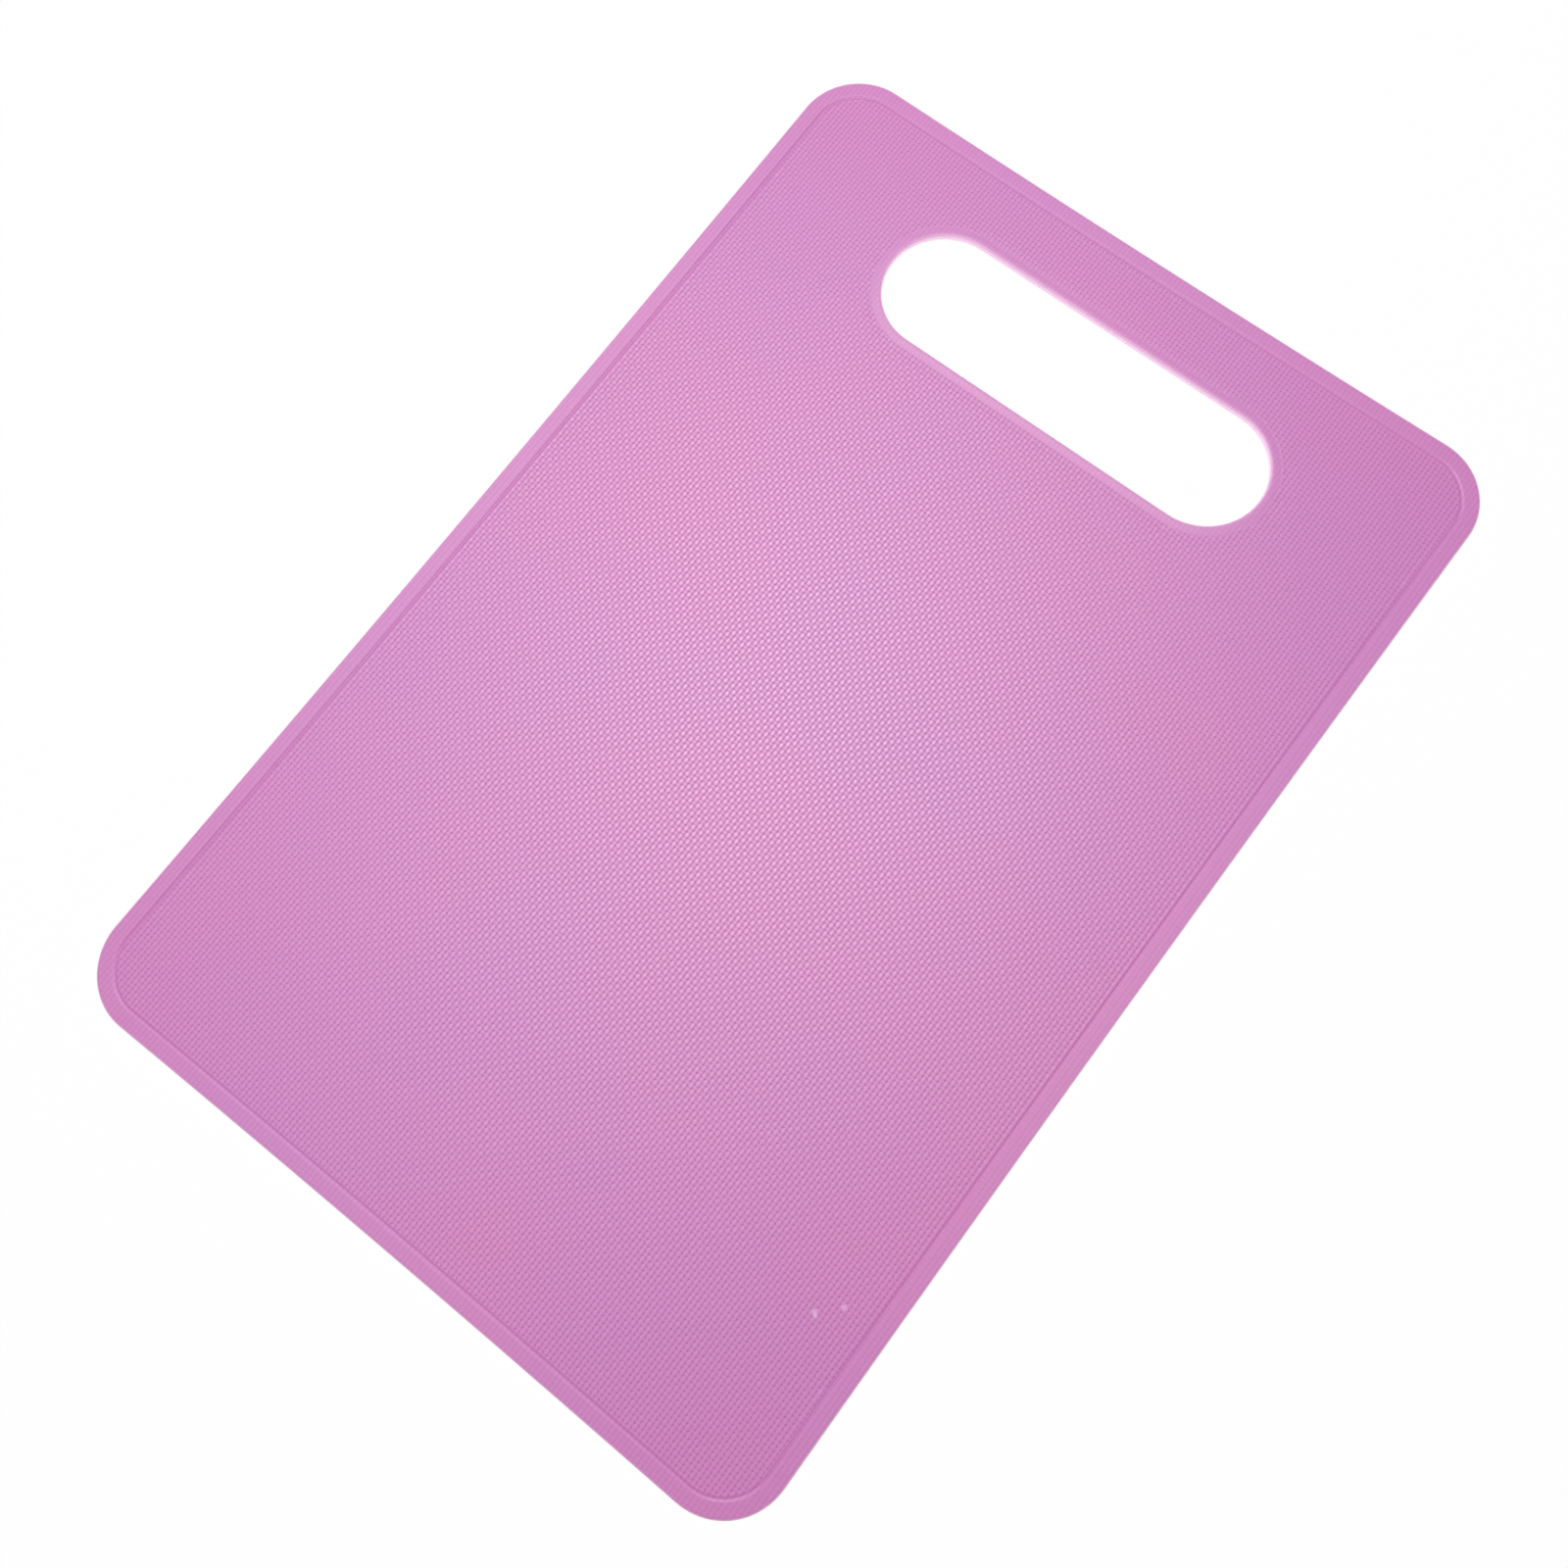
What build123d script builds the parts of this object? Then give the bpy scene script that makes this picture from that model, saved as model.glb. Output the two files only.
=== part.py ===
from build123d import *
import os

# Flexible cutting mat: one moulded sheet of translucent plastic, lying flat with its cutting face up.
# Lengths are in millimetres. +Z is up, +Y points to the end with the hand slot, and the origin lies
# under the middle of the mat, on the surface that it rests on.

os.makedirs("parts", exist_ok=True)

# The sheet. Length and width are measured where the arcs of its edges would meet, past the round corners.
mat_length = 300.0
mat_width = 198.0
mat_thickness = 2.0
corner_radius = 16.5
# The sheet cools and shrinks most between its corners, which draws the four edges in a little
side_draw_in = 0.8
end_draw_in = 0.8
# Softened top and bottom edges, all round the sheet and inside the slot
edge_radius = 0.6

# The hand slot near one end, with fully round ends
slot_length = 109.0
slot_width = 31.3
# Band of sheet between the slot and the end of the mat, which the fingers close round
grip_width = 22.9
# Smooth margin round the slot, where the embossed pattern stops
slot_margin = 2.4

# The smooth rim, the fine groove inside it, and the embossed face, which lies a little lower than the rim
rim_width = 3.8
groove_width = 1.1
groove_depth = 0.25
face_recess = 0.1

# Derived places
half_length = mat_length / 2
half_width = mat_width / 2
slot_centre_y = half_length - grip_width - slot_width / 2
groove_inset = rim_width + groove_width / 2
face_level = mat_thickness - face_recess
# The groove has a round section: its radius follows from its width and its depth below the face
groove_radius = (groove_width**2 / 4 + groove_depth**2) / (2 * groove_depth)
groove_axis_level = face_level - groove_depth + groove_radius


def draw_outline(inset, level=0):
    """Draw the sheet's outline, or a line that keeps the same distance inside it, at a height."""
    x = half_width - inset
    y = half_length - inset
    with BuildSketch(Plane.XY.offset(level)) as outline:
        with BuildLine():
            ThreePointArc((-x, -y), (0, end_draw_in - y), (x, -y))
            ThreePointArc((x, -y), (x - side_draw_in, 0), (x, y))
            ThreePointArc((x, y), (0, y - end_draw_in), (-x, y))
            ThreePointArc((-x, y), (side_draw_in - x, 0), (-x, -y))
        make_face()
        fillet(outline.vertices(), radius=corner_radius - inset)
    return outline.sketch


# Path of the groove's axis and, where the path starts on the +X side, the groove's round section
groove_path = draw_outline(groove_inset, groove_axis_level).wires()[0]
groove_side = groove_path.edges().sort_by(Axis.X)[-1]
with BuildSketch(Plane(origin=groove_side @ 0, z_dir=groove_side % 0)) as groove_section:
    Circle(groove_radius)

with BuildPart() as cutting_mat:
    # The flat sheet with its slot
    with BuildSketch():
        add(draw_outline(0))
        with Locations((0, slot_centre_y)):
            SlotOverall(slot_length, slot_width, mode=Mode.SUBTRACT)
    extrude(amount=mat_thickness)
    fillet(cutting_mat.edges().group_by(Axis.Z)[-1], radius=edge_radius)
    fillet(cutting_mat.edges().group_by(Axis.Z)[0], radius=edge_radius)
    # Recess of the embossed face, from the middle of the groove to the slot's smooth margin
    with BuildSketch(Plane.XY.offset(mat_thickness)):
        add(draw_outline(groove_inset))
        with Locations((0, slot_centre_y)):
            SlotOverall(slot_length + 2 * slot_margin, slot_width + 2 * slot_margin, mode=Mode.SUBTRACT)
    extrude(amount=-face_recess, mode=Mode.SUBTRACT)
    sweep(groove_section.sketch, path=groove_path, mode=Mode.SUBTRACT)

cutting_mat.part.label = "cutting_mat"
export_step(cutting_mat.part, "parts/cutting_mat.step")
print("cutting_mat", round(cutting_mat.part.volume / 1000, 2), "cm3")
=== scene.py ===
# %% [markdown]
# # A flexible cutting mat
# This lesson dresses the CAD model of a flexible cutting mat. The real mat is one moulded sheet of
# translucent polypropylene, 2 mm thick, with rounded corners and a hand slot near one end. A smooth rim
# with a fine groove inside it goes round the sheet, and the face is embossed like a plain weave.
#
# The CAD model is the frame: it fixes the sizes and the place, and it is loaded before all else.

# %% Load the frame
import math

import bmesh
import bpy
import numpy as np
from mathutils import Matrix, Vector
from mathutils.geometry import delaunay_2d_cdt


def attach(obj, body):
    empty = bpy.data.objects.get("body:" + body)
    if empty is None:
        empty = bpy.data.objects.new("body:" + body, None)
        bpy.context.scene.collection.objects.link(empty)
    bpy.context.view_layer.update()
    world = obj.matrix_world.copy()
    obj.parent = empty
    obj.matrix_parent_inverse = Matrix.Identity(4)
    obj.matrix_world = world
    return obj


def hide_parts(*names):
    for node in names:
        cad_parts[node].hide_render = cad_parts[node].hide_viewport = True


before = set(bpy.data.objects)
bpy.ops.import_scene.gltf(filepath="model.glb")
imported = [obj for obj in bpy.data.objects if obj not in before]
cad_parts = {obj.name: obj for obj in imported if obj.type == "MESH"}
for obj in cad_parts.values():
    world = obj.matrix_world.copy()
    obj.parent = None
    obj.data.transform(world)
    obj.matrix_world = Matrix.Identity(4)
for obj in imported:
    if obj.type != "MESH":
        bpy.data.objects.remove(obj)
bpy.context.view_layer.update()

# %% [markdown]
# ## Sizes
# A part is easier to change when every size has a name. These are the sizes of the CAD model, in
# millimetres, and MM turns them into Blender's metres. Only the groove's depth differs: it is 0.25 mm in
# the CAD model and about half of that here, for a reason that the cell on the section gives. Each edge
# of the mat is a very shallow arc: a moulded sheet cools and shrinks most between its corners, and its
# edges are drawn in a little.

# %% Sizes in millimetres
MM = 0.001
mat_length = 300.0
mat_width = 198.0
mat_thickness = 2.0
corner_radius = 16.5
draw_in = 0.8
edge_radius = 0.6

slot_length = 109.0
slot_width = 31.3
grip_width = 22.9

rim_width = 3.8
groove_width = 1.1
groove_depth = 0.12
face_recess = 0.1

half_length = mat_length / 2
half_width = mat_width / 2
slot_end_radius = slot_width / 2
slot_half_line = slot_length / 2 - slot_end_radius
slot_centre_y = half_length - grip_width - slot_end_radius
print("mat", mat_length, "x", mat_width, "x", mat_thickness, "mm, slot", slot_length, "x", slot_width)

# %% [markdown]
# ## Camera
# The camera comes first, so that every later cell can be judged in the right view. It stands about a
# third of a metre above the mat, near its middle, and looks almost straight down. A camera's own axes
# are right, up and backwards. Building them from the aim and from the way that the top of the picture
# points is clearer than three rotation angles would be.

# %% Camera
camera_place = Vector((60.47, -58.40, 334.9)) * MM
camera_aim = Vector((5.58, -12.15, 1.7)) * MM
picture_turn = math.radians(37.53)
picture_top = Vector((-math.sin(picture_turn), math.cos(picture_turn), 0))

forward = (camera_aim - camera_place).normalized()
rightward = forward.cross(picture_top).normalized()
upward = rightward.cross(forward)
camera_turn = Matrix((rightward, upward, -forward)).transposed().to_4x4()

camera = bpy.data.objects.new("camera", bpy.data.cameras.new("camera"))
camera.data.lens = 33.5
camera.data.sensor_width = 36
camera.matrix_world = Matrix.Translation(camera_place) @ camera_turn
bpy.context.scene.collection.objects.link(camera)
bpy.context.scene.camera = camera
print("camera is", round((camera_aim - camera_place).length, 3), "m from the point it looks at")

# %% [markdown]
# ## The outline
# The outline has eight arcs: two long sides, two ends and four corners. Their circles touch, so a line
# that keeps the same distance inside the edge is made of circles with the same centres. That is why the
# rim has one width all the way round. A Bezier curve could be offset too, but only nearly, and a scaled
# copy of the outline would be wrong at the corners.
#
# One quarter is worked out and mirrored. The side's and the end's circles have their centres outside
# the mat, and the corner's centre is where its distances to both are right.

# %% Circles of the outline
side_radius = (half_length**2 + draw_in**2) / (2 * draw_in)
end_radius = (half_width**2 + draw_in**2) / (2 * draw_in)
side_centre = Vector((half_width - draw_in + side_radius, 0))
end_centre = Vector((0, half_length - draw_in + end_radius))

between = end_centre - side_centre
from_side = side_radius + corner_radius
from_end = end_radius + corner_radius
along = (from_side**2 - from_end**2 + between.length_squared) / (2 * between.length)
across = math.sqrt(from_side**2 - along**2)
line = between.normalized()
corner_centre = side_centre + line * along + Vector((-line.y, line.x)) * across
print("corner circles at", round(corner_centre.x, 3), round(corner_centre.y, 3), "mm")

# %% [markdown]
# The ring function gives the points of a line at one distance inside the edge. Every ring has the same
# number of points in the same order, so neighbouring rings can be joined by four-sided faces.

# %% Rings of the outline
SIDE_STEPS = 12
CORNER_STEPS = 22
END_STEPS = 8


def arc(centre, radius, start, end, steps):
    """Points of an arc from one angle to another, without the last point."""
    angles = np.linspace(start, end, steps, endpoint=False)
    return np.c_[centre.x + radius * np.cos(angles), centre.y + radius * np.sin(angles)]


def mat_ring(inset):
    """The closed line that keeps one distance inside the edge of the mat, seen from above."""
    to_side = side_centre - corner_centre
    to_end = end_centre - corner_centre
    side_angle = math.atan2(-to_side.y, -to_side.x)
    end_angle = math.atan2(-to_end.y, -to_end.x)
    corner_start = math.atan2(to_side.y, to_side.x)
    corner_end = math.atan2(to_end.y, to_end.x)
    quarter = np.concatenate([
        arc(side_centre, side_radius + inset, math.pi, side_angle, SIDE_STEPS),
        arc(corner_centre, corner_radius - inset, corner_start, corner_end, CORNER_STEPS),
        arc(end_centre, end_radius + inset, end_angle, -math.pi / 2, END_STEPS),
    ])
    end_middle = np.array([[0, end_centre.y - end_radius - inset]])
    right_top = np.concatenate([quarter, end_middle])
    left_top = right_top[-2::-1] * (-1, 1)
    return np.concatenate([right_top, left_top, right_top[1:] * (-1, -1), left_top[:-1] * (-1, -1)])


edge_line = mat_ring(0)
print(len(edge_line), "points round the mat, reaching", edge_line.max(0).round(3), "mm")

# %% [markdown]
# The hand slot is a straight-sided oblong with half circles at its ends. Its ring function takes the
# distance from the slot's wall into the sheet.

# %% Rings of the slot
SLOT_END_STEPS = 26
SLOT_SIDE_STEPS = 8


def slot_ring(outset):
    """The closed line that keeps one distance from the slot's wall, out in the sheet."""
    radius = slot_end_radius + outset
    right = Vector((slot_half_line, slot_centre_y))
    left = Vector((-slot_half_line, slot_centre_y))
    straight = np.linspace(slot_half_line, -slot_half_line, SLOT_SIDE_STEPS, endpoint=False)
    return np.concatenate([
        arc(right, radius, -math.pi / 2, math.pi / 2, SLOT_END_STEPS),
        np.c_[straight, np.full(SLOT_SIDE_STEPS, slot_centre_y + radius)],
        arc(left, radius, math.pi / 2, 3 * math.pi / 2, SLOT_END_STEPS),
        np.c_[-straight, np.full(SLOT_SIDE_STEPS, slot_centre_y - radius)],
    ])


print(len(slot_ring(0)), "points round the slot")

# %% [markdown]
# ## The section of the edge
# A cut through the rim shows a softened lower edge, a short upright wall, a softened upper edge, the
# flat rim, the round-bottomed groove, and the border of the face. Here the cut is a list of pairs: how
# far in from the wall, and how high. Each flat stretch begins and ends with a ring close to its curved
# neighbour. These close rings hold the shading of the flat still, where a bevel on a coarse mesh would
# smear its gloss across the whole rim.
#
# The groove is as wide as the CAD groove and about half as deep, and its lips are softly rounded, as a
# polished mould leaves them. The drop from the rim is higher than the rise to the face. It slopes about
# as much as a face must to mirror the lamp from the far side of the mat, so the groove is a dark line on
# the side nearer the lamp and a pale one on the other. A steeper drop would be dark on both.
#
# Round the slot the top sinks from the smooth margin to the face on a long gentle ramp, so that no line
# shows there.

# %% Section through the edge
face_level = mat_thickness - face_recess
CLOSE = 0.15
CURVE_POINTS = 7


def softened_edge():
    """Pairs of distance in and height, up the wall from the underside to the top."""
    turns = np.linspace(0, math.pi / 2, CURVE_POINTS)
    low = [(edge_radius * (1 - math.sin(t)), edge_radius * (1 - math.cos(t))) for t in turns]
    high = [(inset, mat_thickness - level) for inset, level in reversed(low)]
    return [(edge_radius + CLOSE, 0.0)] + low + high + [(edge_radius + CLOSE, mat_thickness)]


def groove_dip():
    """Pairs of distance in and height across the groove, from the rim down to the lower face."""
    bottom = face_recess + groove_depth
    half = groove_width / 2
    pairs = []
    for share in np.linspace(0, 1, CURVE_POINTS)[:-1]:
        drop = bottom * math.sin(math.pi / 2 * share) ** 2
        pairs.append((rim_width + half * share, mat_thickness - drop))
    for share in np.linspace(0, 1, CURVE_POINTS):
        drop = bottom - groove_depth * math.sin(math.pi / 2 * share) ** 2
        pairs.append((rim_width + half * (1 + share), mat_thickness - drop))
    return pairs


face_border = rim_width + groove_width + CLOSE
outer_section = softened_edge() + [(rim_width - CLOSE, mat_thickness)] + groove_dip()
outer_section.append((face_border, face_level))

ramp_width = 2.0
slot_section = softened_edge()
ramp_start = slot_section[-1][0]
for share in np.linspace(0, 1, CURVE_POINTS + 1)[1:]:
    ramp_level = mat_thickness - face_recess * math.sin(math.pi / 2 * share) ** 2
    slot_section.append((ramp_start + ramp_width * share, ramp_level))
slot_border = ramp_start + ramp_width + CLOSE
slot_section.append((slot_border, face_level))
print(len(outer_section), "rings round the mat and", len(slot_section), "round the slot")

# %% [markdown]
# ## The lattice of crossings
# The emboss copies a plain weave: warp threads run along the mat, weft threads across it, and at every
# crossing one of them lies on top. The threads are about 1.13 mm apart across the mat and 1.16 mm apart
# along it, which makes about 37,000 crossings.
#
# The face gets one four-sided face for each crossing. Only crossings that fit wholly inside the border
# are kept, and the strip that is left between them and the rings is filled in a later cell. Two small
# functions say how far a point lies from the edge of the mat and from the slot.

# %% Crossings that fit on the face
warp_pitch = 1.126
weft_pitch = 1.160
CLEARANCE = 0.15


def depth_in_mat(x, y):
    """How far points lie inside the edge of the mat, in millimetres."""
    x = np.abs(x)
    y = np.abs(y)
    from_sides = np.hypot(x - side_centre.x, y) - side_radius
    from_ends = np.hypot(x, y - end_centre.y) - end_radius
    in_corner = (x > corner_centre.x) & (y > corner_centre.y)
    from_corner = corner_radius - np.hypot(x - corner_centre.x, y - corner_centre.y)
    return np.where(in_corner, from_corner, np.minimum(from_sides, from_ends))


def gap_to_slot(x, y):
    """How far points lie from the slot's wall, out in the sheet, in millimetres."""
    past_line = np.maximum(np.abs(x) - slot_half_line, 0)
    return np.hypot(past_line, y - slot_centre_y) - slot_end_radius


columns = int(half_width / warp_pitch)
rows = int(half_length / weft_pitch)
corner_x, corner_y = np.meshgrid(np.arange(-columns, columns + 1) * warp_pitch,
                                 np.arange(-rows, rows + 1) * weft_pitch)
on_face = depth_in_mat(corner_x, corner_y) > face_border + CLEARANCE
on_face &= gap_to_slot(corner_x, corner_y) > slot_border + CLEARANCE
kept = on_face[:-1, :-1] & on_face[:-1, 1:] & on_face[1:, :-1] & on_face[1:, 1:]
print(int(kept.sum()), "crossings on the face")

# %% [markdown]
# ## The sheet as one closed mesh
# The points of all rings and of the lattice go into one list, and the faces are numbered from it. Rings
# are joined by four-sided faces. The two flat strips without a regular layout, between the lattice and
# the rings and across the underside, are filled by a Delaunay triangulation that keeps the given edges.
# Blender's own fill tools work too, but this one says which input point each result point is.

# %% Collect points and ring faces
points = []
faces = []


def add_rings(ring, section):
    """Add the rings of a section and return the point numbers, one row for each ring."""
    numbers = []
    for inset, level in section:
        loop = ring(inset)
        numbers.append(np.arange(len(points), len(points) + len(loop)))
        points.extend((x, y, level) for x, y in loop)
    return np.array(numbers)


def join_rings(numbers, inner):
    """Add four-sided faces between neighbouring rings. The wall of a hole faces the other way."""
    following = np.roll(numbers, -1, axis=1)
    quads = np.stack([numbers[:-1], following[:-1], following[1:], numbers[1:]], axis=-1).reshape(-1, 4)
    faces.extend((quads[:, ::-1] if inner else quads).tolist())


outer_rings = add_rings(mat_ring, outer_section)
slot_rings = add_rings(slot_ring, slot_section)
join_rings(outer_rings, False)
join_rings(slot_rings, True)
print(len(faces), "faces in the rings")

# %% [markdown]
# The lattice's corners are the pits between the threads, so they lie a little below the face, and only
# the corners of kept crossings are used. An edge that belongs to one crossing alone is on the lattice's
# border. Those edges are what the filled strip has to meet.

# %% Add the lattice
pit_depth = 0.05
pit_level = face_level - pit_depth
used = np.zeros_like(on_face)
for down in (0, 1):
    for over in (0, 1):
        used[down:down + kept.shape[0], over:over + kept.shape[1]] |= kept
lattice_numbers = np.full(used.shape, -1)
lattice_numbers[used] = len(points) + np.arange(used.sum())
points.extend((x, y, pit_level) for x, y in zip(corner_x[used], corner_y[used]))

first_crossing = len(faces)
crossings = np.stack([lattice_numbers[:-1, :-1][kept], lattice_numbers[:-1, 1:][kept],
                      lattice_numbers[1:, 1:][kept], lattice_numbers[1:, :-1][kept]], axis=-1)
faces.extend(crossings.tolist())

edge_uses = {}
for quad in crossings.tolist():
    for a, b in zip(quad, quad[1:] + quad[:1]):
        edge_uses[frozenset((a, b))] = edge_uses.get(frozenset((a, b)), 0) + 1
stepped_edges = [tuple(edge) for edge, uses in edge_uses.items() if uses == 1]
print(len(stepped_edges), "edges round the lattice, which steps along the rings")

# %% [markdown]
# The triangulation fills everything inside its outermost points, so each triangle is tested at its
# middle: those over the lattice, in the slot or past the outer ring are left out. Points that lie closer
# together than SAME_PLACE count as one, and a triangle's middle has to lie INSIDE the outer ring by more
# than that length.

# %% Fill the flat strips
SAME_PLACE = 1e-5
INSIDE = 0.01


def loop_edges(loop):
    """The edges round a closed loop of point numbers."""
    return list(zip(loop.tolist(), np.roll(loop, -1).tolist()))


def fill_between(edges, outer_inset, slot_outset, upward):
    """Fill the flat area between closed loops of edges, and return the number of triangles."""
    numbers = sorted({number for edge in edges for number in edge})
    place = {number: i for i, number in enumerate(numbers)}
    flat = [Vector(points[number][:2]) for number in numbers]
    local_edges = [(place[a], place[b]) for a, b in edges]
    corners, _, triangles, sources, _, _ = delaunay_2d_cdt(flat, local_edges, [], 0, SAME_PLACE)
    added = 0
    for triangle in triangles:
        x, y = sum((corners[i] for i in triangle), Vector((0, 0))) / 3
        column = math.floor(x / warp_pitch) + columns
        row = math.floor(y / weft_pitch) + rows
        in_lattice = 0 <= row < kept.shape[0] and 0 <= column < kept.shape[1] and kept[row, column]
        if upward and in_lattice:
            continue
        if depth_in_mat(x, y) < outer_inset + INSIDE or gap_to_slot(x, y) < slot_outset:
            continue
        face = [numbers[sources[i][0]] for i in triangle]
        faces.append(face if upward else face[::-1])
        added += 1
    return added


top_edges = loop_edges(outer_rings[-1]) + loop_edges(slot_rings[-1]) + stepped_edges
print("strip round the lattice:", fill_between(top_edges, face_border, slot_border, True), "triangles")
under_edges = loop_edges(outer_rings[0]) + loop_edges(slot_rings[0])
under_inset = outer_section[0][0]
print("underside:", fill_between(under_edges, under_inset, under_inset, False), "triangles")

# %% [markdown]
# Three marks go on the mesh before it is used. The face mark "crossing" tells a later step which faces
# are crossings. The point mark "woven" tells the material where the woven emboss lies: it is 1 on the
# face and 0 on the rim, in the groove, round the slot and underneath. The point mark "edge" says where
# light is painted: it is 1 on the walls and fades out over the softened edges, and a little of it stays
# on the slot's margin. The material paints the plastic paler there and adds a weak glow.

# %% Make the mesh
# Painted light: how pale the slot's margin is painted, and how fast that fades away from the slot.
margin_painted_light = 0.12
margin_fade = 2.0

sheet_mesh = bpy.data.meshes.new("mat_sheet")
sheet_mesh.from_pydata((np.array(points) * MM).tolist(), [], faces)
is_crossing = np.zeros(len(faces), bool)
is_crossing[first_crossing:first_crossing + len(crossings)] = True
sheet_mesh.attributes.new("crossing", "BOOLEAN", "FACE").data.foreach_set("value", is_crossing)

is_woven = np.zeros(len(points), np.float32)
is_woven[outer_rings[-1]] = 1
is_woven[slot_rings[-1]] = 1
is_woven[lattice_numbers[used]] = 1
sheet_mesh.attributes.new("woven", "FLOAT", "POINT").data.foreach_set("value", is_woven)

# Painted light: the edge mark paints the walls paler and makes them glow a little, and leaves a faint
# pale band on the slot's margin.
edge_painted_light = np.zeros(len(points), np.float32)
for ring, (inset, _) in zip(outer_rings, outer_section):
    edge_painted_light[ring] = max(0.0, 1 - inset / edge_radius)
for ring, (inset, _) in zip(slot_rings, slot_section):
    edge_painted_light[ring] = max(1 - inset / edge_radius, margin_painted_light * math.exp(-inset / margin_fade))
sheet_mesh.attributes.new("edge", "FLOAT", "POINT").data.foreach_set("value", edge_painted_light)

mat_sheet = bpy.data.objects.new("mat_sheet", sheet_mesh)
bpy.context.scene.collection.objects.link(mat_sheet)

# %% [markdown]
# A solid object needs a closed mesh: every edge belongs to exactly two faces, and the volume comes out
# positive when the faces point outwards. The same check is made again on the finished mesh.

# %% Check that the mesh is closed


def check_mesh(mesh):
    """Print how many edges of a mesh are open, and its volume."""
    check = bmesh.new()
    check.from_mesh(mesh)
    open_edges = sum(not edge.is_manifold for edge in check.edges)
    volume_cm3 = check.calc_volume(signed=True) * 1e6
    check.free()
    print("open edges:", open_edges, "volume:", round(volume_cm3, 2), "cm3")


check_mesh(sheet_mesh)

# %% [markdown]
# ## A small helper for node trees
# Both the emboss and the materials are node trees. One function adds a node: fields of the node are
# passed by name, and a dictionary fills its sockets, either with a value or with another node's output.

# %% Helper that adds a node


def add_node(tree, kind, sockets=None, **fields):
    """Add a node, set its fields, and fill its input sockets with values or links."""
    node = tree.nodes.new(kind)
    for name, value in fields.items():
        setattr(node, name, value)
    for socket, value in (sockets or {}).items():
        if isinstance(value, bpy.types.NodeSocket):
            tree.links.new(value, node.inputs[socket])
        else:
            node.inputs[socket].default_value = value
    return node


def linear(code):
    """Turn an sRGB hex colour into the linear red, green, blue and alpha that shaders work in."""
    parts = [int(code[i:i + 2], 16) / 255 for i in (0, 2, 4)]
    return (*[p / 12.92 if p <= 0.04045 else ((p + 0.055) / 1.055) ** 2.4 for p in parts], 1.0)


print("mid grey 808080 is", round(linear("808080")[0], 3), "in linear light")

# %% [markdown]
# ## The moulded plastic
# The real material is polypropylene, coloured pink-violet and slightly translucent, from a mould with
# a satin finish. To the eye that gives a soft, broad sheen, edges that glow a little where light passes
# through them, and a colour that changes slightly over the sheet with its thickness and its flow marks.
#
# Polypropylene's index of refraction is about 1.49, and a satin mould leaves a roughness from 0.4 up to
# 0.65. Light goes a millimetre or two into the plastic and red goes furthest, which is what the
# subsurface numbers say. Glass-like transmission would be wrong: nothing can be seen through the sheet.
#
# The threads are one pattern of heights. A sine wave with the thread's pitch is rounded into a thread,
# and it is lifted where that thread passes over the other and lowered where it passes under. The higher
# of the two threads shows. The pattern reads Object coordinates, so it lies on the sheet and lines up
# with the lattice, whose corners are the pits between the threads.

# %% Threads of the weave
relief = 0.04
thread_roundness = 0.6
thread_blend = 0.12
warp_middle = 0.68
warp_lift = 0.28
weft_middle = 0.46
weft_lift = -0.30

plastic = bpy.data.materials.new("moulded_polypropylene")
plastic.use_nodes = True
tree = plastic.node_tree
tree.nodes.clear()

place = add_node(tree, "ShaderNodeTexCoord").outputs["Object"]
turns = (math.pi / (warp_pitch * MM), math.pi / (weft_pitch * MM), 1.0)
weave_place = add_node(tree, "ShaderNodeMapping", {"Vector": place, "Scale": turns})
axes = add_node(tree, "ShaderNodeSeparateXYZ", {"Vector": weave_place.outputs["Vector"]})
warp_wave = add_node(tree, "ShaderNodeMath", {0: axes.outputs["X"]}, operation="SINE").outputs[0]
weft_wave = add_node(tree, "ShaderNodeMath", {0: axes.outputs["Y"]}, operation="SINE").outputs[0]

threads = []
thread_sets = (
    (warp_wave, weft_wave, warp_middle, warp_lift),
    (weft_wave, warp_wave, weft_middle, weft_lift),
)
for own, other, middle, lift in thread_sets:
    width = add_node(tree, "ShaderNodeMath", {0: own}, operation="ABSOLUTE")
    rounded = add_node(tree, "ShaderNodeMath", {0: width.outputs[0], 1: thread_roundness},
                       operation="POWER")
    side = add_node(tree, "ShaderNodeMath", {0: own}, operation="SIGN")
    over = add_node(tree, "ShaderNodeMath", {0: side.outputs[0], 1: other}, operation="MULTIPLY")
    height = add_node(tree, "ShaderNodeMath", {0: over.outputs[0], 1: lift, 2: middle},
                      operation="MULTIPLY_ADD")
    thread = add_node(tree, "ShaderNodeMath", {0: rounded.outputs[0], 1: height.outputs[0]},
                      operation="MULTIPLY")
    threads.append(thread.outputs[0])
weave = add_node(tree, "ShaderNodeMath", {0: threads[0], 1: threads[1], 2: thread_blend},
                 operation="SMOOTH_MAX")
woven = add_node(tree, "ShaderNodeAttribute", attribute_name="woven")
emboss = add_node(tree, "ShaderNodeMath", {0: weave.outputs[0], 1: woven.outputs["Fac"]},
                  operation="MULTIPLY").outputs[0]
print("weave drawn by", len(tree.nodes), "nodes, relief", relief, "mm")

# %% [markdown]
# ## Colour
# The colour has three parts. The pits between the threads are painted darker than the tops, as painted
# shade, every second one more so, as light from one side shades them, which gives the face its staggered
# dots. A large soft cloud of noise shifts the whole sheet between two close shades. The thin edges are
# painted paler, as painted light: in a translucent sheet the light that enters by the face travels inside
# and leaves by the edges. Subsurface carries too little of it over such a distance, so the paler colour
# and a weak glow on the walls stand in.

# %% Colour of the plastic
cloud_size = 70.0
# Painted shade: how far up the threads the pits' darker colour reaches, and how much of the tops' colour
# every second pit keeps.
pit_shade_reach = 0.6
lit_pit_share = 0.6
plain_shade_share = 0.8
# Painted light: the strength of the walls' glow and how fast it fades over the softened edges.
wall_glow = 0.38
wall_glow_power = 4.0

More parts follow.
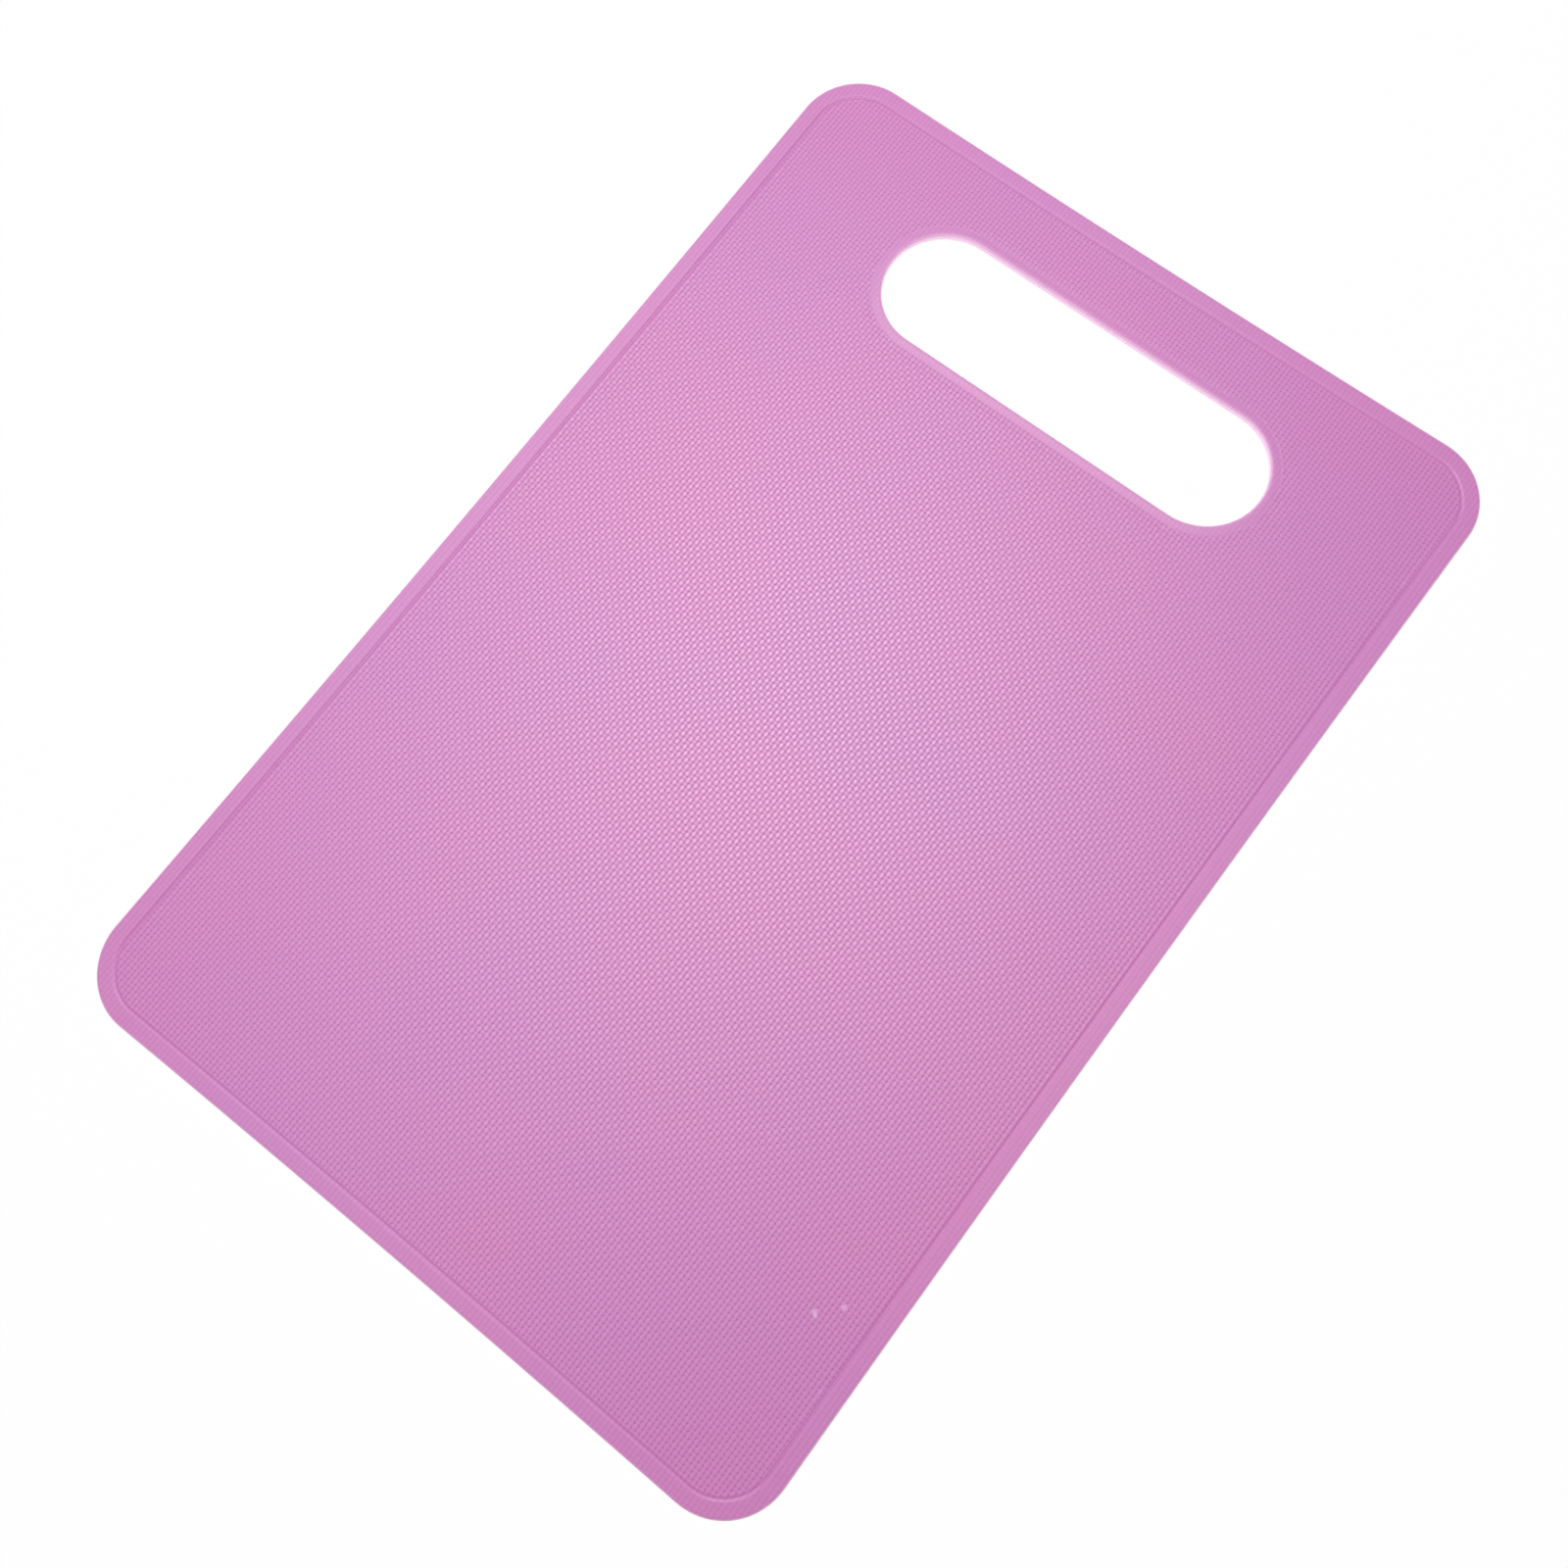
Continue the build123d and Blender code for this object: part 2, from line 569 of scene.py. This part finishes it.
cloud = add_node(tree, "ShaderNodeTexNoise",
                 {"Vector": place, "Scale": 1 / (cloud_size * MM), "Detail": 2.0, "Roughness": 0.45})
cloud_share = add_node(tree, "ShaderNodeMapRange",
                       {"Value": cloud.outputs["Fac"], "From Min": 0.35, "From Max": 0.65})
shade = add_node(tree, "ShaderNodeMix",
                 {"Factor": cloud_share.outputs[0], 6: linear("C471B7"), 7: linear("C871B4")},
                 data_type="RGBA")
# Painted shade: the pits' colour is the sheet's colour multiplied by B28EA9.
painted_pit_shade = add_node(tree, "ShaderNodeMix",
                     {0: 1.0, 6: shade.outputs[2], 7: linear("B28EA9")},
                     data_type="RGBA", blend_type="MULTIPLY")
off_weave = add_node(tree, "ShaderNodeMath", {0: 1.0, 1: woven.outputs["Fac"]}, operation="SUBTRACT")
out_of_pit = add_node(tree, "ShaderNodeMapRange",
                      {"Value": weave.outputs[0], "From Min": 0.0, "From Max": pit_shade_reach})
column_turn = add_node(tree, "ShaderNodeMath", {0: axes.outputs["X"]}, operation="COSINE")
row_turn = add_node(tree, "ShaderNodeMath", {0: axes.outputs["Y"]}, operation="COSINE")
every_second = add_node(tree, "ShaderNodeMath", {0: column_turn.outputs[0], 1: row_turn.outputs[0]},
                        operation="MULTIPLY")
# Painted shade: every second pit keeps more of the tops' colour, as light from one side would leave it
# less shaded.
lit_pits = add_node(tree, "ShaderNodeMapRange",
                   {"Value": every_second.outputs[0], "From Min": -1.0, "To Min": 0.0,
                    "To Max": lit_pit_share})
out_of_pit = add_node(tree, "ShaderNodeMath", {0: out_of_pit.outputs[0], 1: lit_pits.outputs[0]},
                      operation="MAXIMUM")
# The plain rim and margin take up to a fifth of the painted pit shade, so that they match the face's
# average.
plain_share = add_node(tree, "ShaderNodeMath", {0: off_weave.outputs[0], 1: plain_shade_share},
                       operation="MULTIPLY")
out_of_pit = add_node(tree, "ShaderNodeMath", {0: out_of_pit.outputs[0], 1: plain_share.outputs[0]},
                      operation="MAXIMUM")
face_colour = add_node(tree, "ShaderNodeMix",
                       {0: out_of_pit.outputs[0], 6: painted_pit_shade.outputs[2], 7: shade.outputs[2]},
                       data_type="RGBA")
# Painted light: where the edge mark is, the colour turns paler towards F0C8E4 and a weak glow is added.
edge = add_node(tree, "ShaderNodeAttribute", attribute_name="edge")
edge_light = add_node(tree, "ShaderNodeMath", {0: edge.outputs["Fac"], 1: wall_glow_power},
                      operation="POWER")
edge_light = add_node(tree, "ShaderNodeMath", {0: edge_light.outputs[0], 1: wall_glow},
                      operation="MULTIPLY")
colour = add_node(tree, "ShaderNodeMix",
                  {0: edge.outputs["Fac"], 6: face_colour.outputs[2], 7: linear("F0C8E4")},
                  data_type="RGBA")
print("with its colour the plastic has", len(tree.nodes), "nodes")

# %% [markdown]
# ## Gloss and grain
# The crests of the threads are satin and the gaps between them nearly matt. This is a choice: in the
# photo the threads show best in the sheen, and a difference in gloss draws them there more clearly than
# their height does. The plain rim and the slot's margin lie between the two. A fine grain is added to it.
# A real grain is near 0.05 mm: it is drawn at 0.45 mm, because a finer one would not show.
#
# The specular level is 1, twice its usual value: it gives the face's broad sheen its strength without a
# lower roughness, which would gather the sheen into a spot.

# %% Gloss, grain and shader
grain_size = 0.45
grain_relief = 0.012
grain_swing = 0.03
crest_start = 0.3
crest_full = 0.9
gap_roughness = 0.66
crest_roughness = 0.42
plain_gloss_share = 0.55
light_depth = 1.5

grain = add_node(tree, "ShaderNodeTexNoise",
                 {"Vector": place, "Scale": 1 / (grain_size * MM), "Detail": 3.0})
on_crest = add_node(tree, "ShaderNodeMapRange",
                    {"Value": weave.outputs[0], "From Min": crest_start, "From Max": crest_full})
on_crest = add_node(tree, "ShaderNodeMix",
                    {0: woven.outputs["Fac"], 2: plain_gloss_share, 3: on_crest.outputs[0]},
                    data_type="FLOAT")
crest_gloss = add_node(tree, "ShaderNodeMapRange",
                       {"Value": on_crest.outputs[0], "To Min": gap_roughness, "To Max": crest_roughness})
grain_gloss = add_node(tree, "ShaderNodeMapRange",
                       {"Value": grain.outputs["Fac"], "To Min": -grain_swing, "To Max": grain_swing})
gloss = add_node(tree, "ShaderNodeMath", {0: crest_gloss.outputs[0], 1: grain_gloss.outputs[0]},
                 operation="ADD")
grain_bump = add_node(tree, "ShaderNodeBump",
                      {"Height": grain.outputs["Fac"], "Distance": grain_relief * MM, "Strength": 1.0})
weave_bump = add_node(tree, "ShaderNodeBump",
                      {"Height": emboss, "Distance": relief * MM, "Strength": 1.0,
                       "Normal": grain_bump.outputs["Normal"]})
# The emission is painted light: a weak pale glow on the walls, the slot's margin and the nibs.
surface = add_node(tree, "ShaderNodeBsdfPrincipled",
                   {"Base Color": colour.outputs[2], "Roughness": gloss.outputs[0], "IOR": 1.49,
                    "Specular IOR Level": 1.0,
                    "Emission Color": linear("F4CCE8"), "Emission Strength": edge_light.outputs[0],
                    "Subsurface Weight": 0.35, "Subsurface Radius": (1.0, 0.55, 0.9),
                    "Subsurface Scale": light_depth * MM, "Normal": weave_bump.outputs["Normal"]})
add_node(tree, "ShaderNodeOutputMaterial", {"Surface": surface.outputs["BSDF"]})
print("plastic has", len(tree.nodes), "nodes")

# %% [markdown]
# ## Raising the crossings
# Bump only changes the shading, so the crossings also get real height, with Geometry Nodes: about
# 37,000 small mounds would be slow to place one by one in Python. The tree extrudes each crossing's face
# upwards on its own, shrinks the new top to a point, merges the four points there, and so makes a mound
# of four triangles. Its height is a named input of the tree. The mounds carry the relief, and the bump,
# the gloss and the colour draw the threads on them.

# %% Geometry Nodes tree that raises the crossings
merge_distance = 0.01

mounds = bpy.data.node_groups.new("raise_crossings", "GeometryNodeTree")
mounds.interface.new_socket("Sheet", in_out="INPUT", socket_type="NodeSocketGeometry")
height_input = mounds.interface.new_socket("Mound height", in_out="INPUT", socket_type="NodeSocketFloat")
top_input = mounds.interface.new_socket("Top size", in_out="INPUT", socket_type="NodeSocketFloat")
finish_input = mounds.interface.new_socket("Plastic", in_out="INPUT", socket_type="NodeSocketMaterial")
mounds.interface.new_socket("Sheet", in_out="OUTPUT", socket_type="NodeSocketGeometry")

given = add_node(mounds, "NodeGroupInput").outputs
marked = add_node(mounds, "GeometryNodeInputNamedAttribute", {"Name": "crossing"}, data_type="BOOLEAN")
raised = add_node(mounds, "GeometryNodeExtrudeMesh",
                  {"Mesh": given["Sheet"], "Selection": marked.outputs["Attribute"],
                   "Offset Scale": given["Mound height"], "Individual": True}, mode="FACES")
pointed = add_node(mounds, "GeometryNodeScaleElements",
                   {"Geometry": raised.outputs["Mesh"], "Selection": raised.outputs["Top"],
                    "Scale": given["Top size"]}, domain="FACE")
merged = add_node(mounds, "GeometryNodeMergeByDistance",
                  {"Geometry": pointed.outputs["Geometry"], "Selection": raised.outputs["Top"],
                   "Distance": merge_distance * MM})
real = add_node(mounds, "GeometryNodeRealizeInstances", {"Geometry": merged.outputs["Geometry"]})
finished = add_node(mounds, "GeometryNodeSetMaterial",
                    {"Geometry": real.outputs["Geometry"], "Material": given["Plastic"]})
add_node(mounds, "NodeGroupOutput", {"Sheet": finished.outputs["Geometry"]})
print("tree with", len(mounds.nodes), "nodes")

# %% [markdown]
# The tree runs as a modifier of the sheet. Its inputs are set by their identifiers, which stay the same
# when a name changes. The result is then kept as a plain mesh and the modifier is removed, because the
# finished piece should hold nothing that is still to be worked out.

# %% Run the tree and keep its result
mound_height = 0.12
raiser = mat_sheet.modifiers.new("raise_crossings", "NODES")
raiser.node_group = mounds
raiser[height_input.identifier] = mound_height * MM
raiser[top_input.identifier] = 0.0
raiser[finish_input.identifier] = plastic

evaluated = mat_sheet.evaluated_get(bpy.context.evaluated_depsgraph_get())
embossed_mesh = bpy.data.meshes.new_from_object(evaluated)
mat_sheet.modifiers.clear()
mat_sheet.data = embossed_mesh
embossed_mesh.name = "mat_sheet"
triangles = sum(len(face.vertices) - 2 for face in embossed_mesh.polygons)
print("sheet has", triangles, "triangles")

# %% [markdown]
# ## Small flaws of the moulding
# A moulded face is never perfect: near one corner the photo shows two tiny pale dots. They are taken for
# nibs that stand up from the weave and catch the light. Each is a few of the sheet's own points, lifted
# by a smooth hill about half a millimetre in radius, so the sheet stays one closed surface, and those
# points are also painted pale with a little glow, as a painted highlight. NIBS holds their places and
# heights, and neither may stand higher than the rim.

# %% Two nibs
NIBS = ((86.6, -96.3, 0.05), (82.4, -101.3, 0.04))
NIB_RADIUS = 0.45
# Painted highlight: how pale the nibs' points are painted.
NIB_PAINTED_GLINT = 0.55

places = np.empty(len(embossed_mesh.vertices) * 3)
embossed_mesh.vertices.foreach_get("co", places)
places = places.reshape(-1, 3)
on_top = places[:, 2] > pit_level * MM / 2
nib_points = np.zeros(len(places), bool)
for nib_x, nib_y, lift in NIBS:
    away = np.hypot(places[:, 0] / MM - nib_x, places[:, 1] / MM - nib_y) / NIB_RADIUS
    raised_by = lift * np.exp(-away**2) * on_top
    places[:, 2] += raised_by * MM
    lifted = raised_by > lift / 3
    nib_points |= lifted
    print("nib lifts", int(lifted.sum()), "points")
places[:, 2] = np.minimum(places[:, 2], mat_thickness * MM)
embossed_mesh.vertices.foreach_set("co", places.ravel())
embossed_mesh.update()
# Painted highlight: the nibs' points take the edge mark, so they are painted pale and glow a little.
painted_light_marks = embossed_mesh.attributes["edge"].data
for number in np.flatnonzero(nib_points):
    painted_light_marks[number].value = NIB_PAINTED_GLINT

# %% [markdown]
# ## Smooth shading
# The sheet has no sharp edge anywhere, since a mould that is polished round its edges leaves none. Smooth
# shading over all faces is therefore right, and the close rings keep the flats flat.

# %% Shade the sheet
embossed_mesh.shade_smooth()
check_mesh(embossed_mesh)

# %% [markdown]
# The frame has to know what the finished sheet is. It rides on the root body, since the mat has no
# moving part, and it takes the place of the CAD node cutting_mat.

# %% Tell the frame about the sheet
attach(mat_sheet, "root")
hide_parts("cutting_mat")
print(mat_sheet.name, "takes the place of cutting_mat")

# %% [markdown]
# ## Floor
# The mat lies on a plain white surface, drawn a hair below it, so that the two faces don't share a
# place. Most of the surface's brightness is its own white, which also lights the mat's walls from below,
# and the rest is lit by the lamps, so that the mat's soft shadow stays on it. Seen by the camera or in a
# reflection, its own white has a larger share than it has as a source of light. The world needs the
# same distinction later, so a function makes it. The floor is staging: it isn't part of the object.

# %% White floor
floor_size = 8.0
floor_gap = 0.05


def level_by_ray(tree, as_light, as_seen):
    """A number with one value for light on the object and one for camera, gloss and transmission rays."""
    sight = add_node(tree, "ShaderNodeLightPath").outputs
    seen = add_node(tree, "ShaderNodeMath", {0: sight["Is Camera Ray"], 1: sight["Is Glossy Ray"]},
                    operation="MAXIMUM")
    seen = add_node(tree, "ShaderNodeMath", {0: seen.outputs[0], 1: sight["Is Transmission Ray"]},
                    operation="MAXIMUM")
    return add_node(tree, "ShaderNodeMapRange",
                    {"Value": seen.outputs[0], "To Min": as_light, "To Max": as_seen}).outputs[0]


floor_mesh = bpy.data.meshes.new("floor")
reach = floor_size / 2
floor_corners = [(-reach, -reach, 0), (reach, -reach, 0), (reach, reach, 0), (-reach, reach, 0)]
floor_mesh.from_pydata(floor_corners, [], [(0, 1, 2, 3)])
floor = bpy.data.objects.new("floor", floor_mesh)
floor.location.z = -floor_gap * MM
bpy.context.scene.collection.objects.link(floor)

white = bpy.data.materials.new("matt_white_board")
white.use_nodes = True
tree = white.node_tree
tree.nodes.clear()
own_white = level_by_ray(tree, as_light=0.8, as_seen=0.95)
lit = add_node(tree, "ShaderNodeBsdfDiffuse", {"Color": linear("F7F6F7")})
glow = add_node(tree, "ShaderNodeEmission", {"Color": linear("FFFFFF"), "Strength": 1.0})
mixed = add_node(tree, "ShaderNodeMixShader",
                 {0: own_white, 1: lit.outputs["BSDF"], 2: glow.outputs["Emission"]})
add_node(tree, "ShaderNodeOutputMaterial", {"Surface": mixed.outputs["Shader"]})
floor_mesh.materials.append(white)
print("floor", floor_size, "m wide")

# %% [markdown]
# ## Light
# Two soft boxes, a strong main lamp and a weak fill lamp, give the broad sheen. The main lamp hangs where
# the middle of the face mirrors it to the camera. The fill lamp carries the sheen on to the left corner.
# Their distance and size set how soft the sheen is. A row of LAMPS gives a lamp's name, its place and
# its two sides in metres, and its power in watts. A pale world shows white to the camera and in
# reflections, and gives little light of its own, so that the tones still fall off towards the corners.

# %% Lamps and world
LAMPS = (
    ("main_lamp", (-0.25, 0.25, 1.2), 0.4, 0.5, 11.8),
    ("fill_lamp", (-0.28, -0.25, 1.2), 0.35, 0.35, 2.8),
)
for name, spot, across_x, across_y, power in LAMPS:
    lamp = bpy.data.objects.new(name, bpy.data.lights.new(name, "AREA"))
    lamp.data.shape = "RECTANGLE"
    lamp.data.size = across_x
    lamp.data.size_y = across_y
    lamp.data.energy = power
    lamp_place = Vector(spot)
    lamp_turn = lamp_place.to_track_quat("Z", "Y").to_matrix().to_4x4()
    lamp.matrix_world = Matrix.Translation(lamp_place) @ lamp_turn
    lamp.visible_camera = False
    bpy.context.scene.collection.objects.link(lamp)

world = bpy.data.worlds.new("pale_world")
bpy.context.scene.world = world
world.use_nodes = True
tree = world.node_tree
tree.nodes.clear()
world_level = level_by_ray(tree, as_light=0.1, as_seen=1.0)
sky = add_node(tree, "ShaderNodeBackground", {"Color": linear("FFFFFF"), "Strength": world_level})
add_node(tree, "ShaderNodeOutputWorld", {"Surface": sky.outputs["Background"]})
bpy.context.scene.view_settings.view_transform = "Standard"
print(len(LAMPS), "lamps")
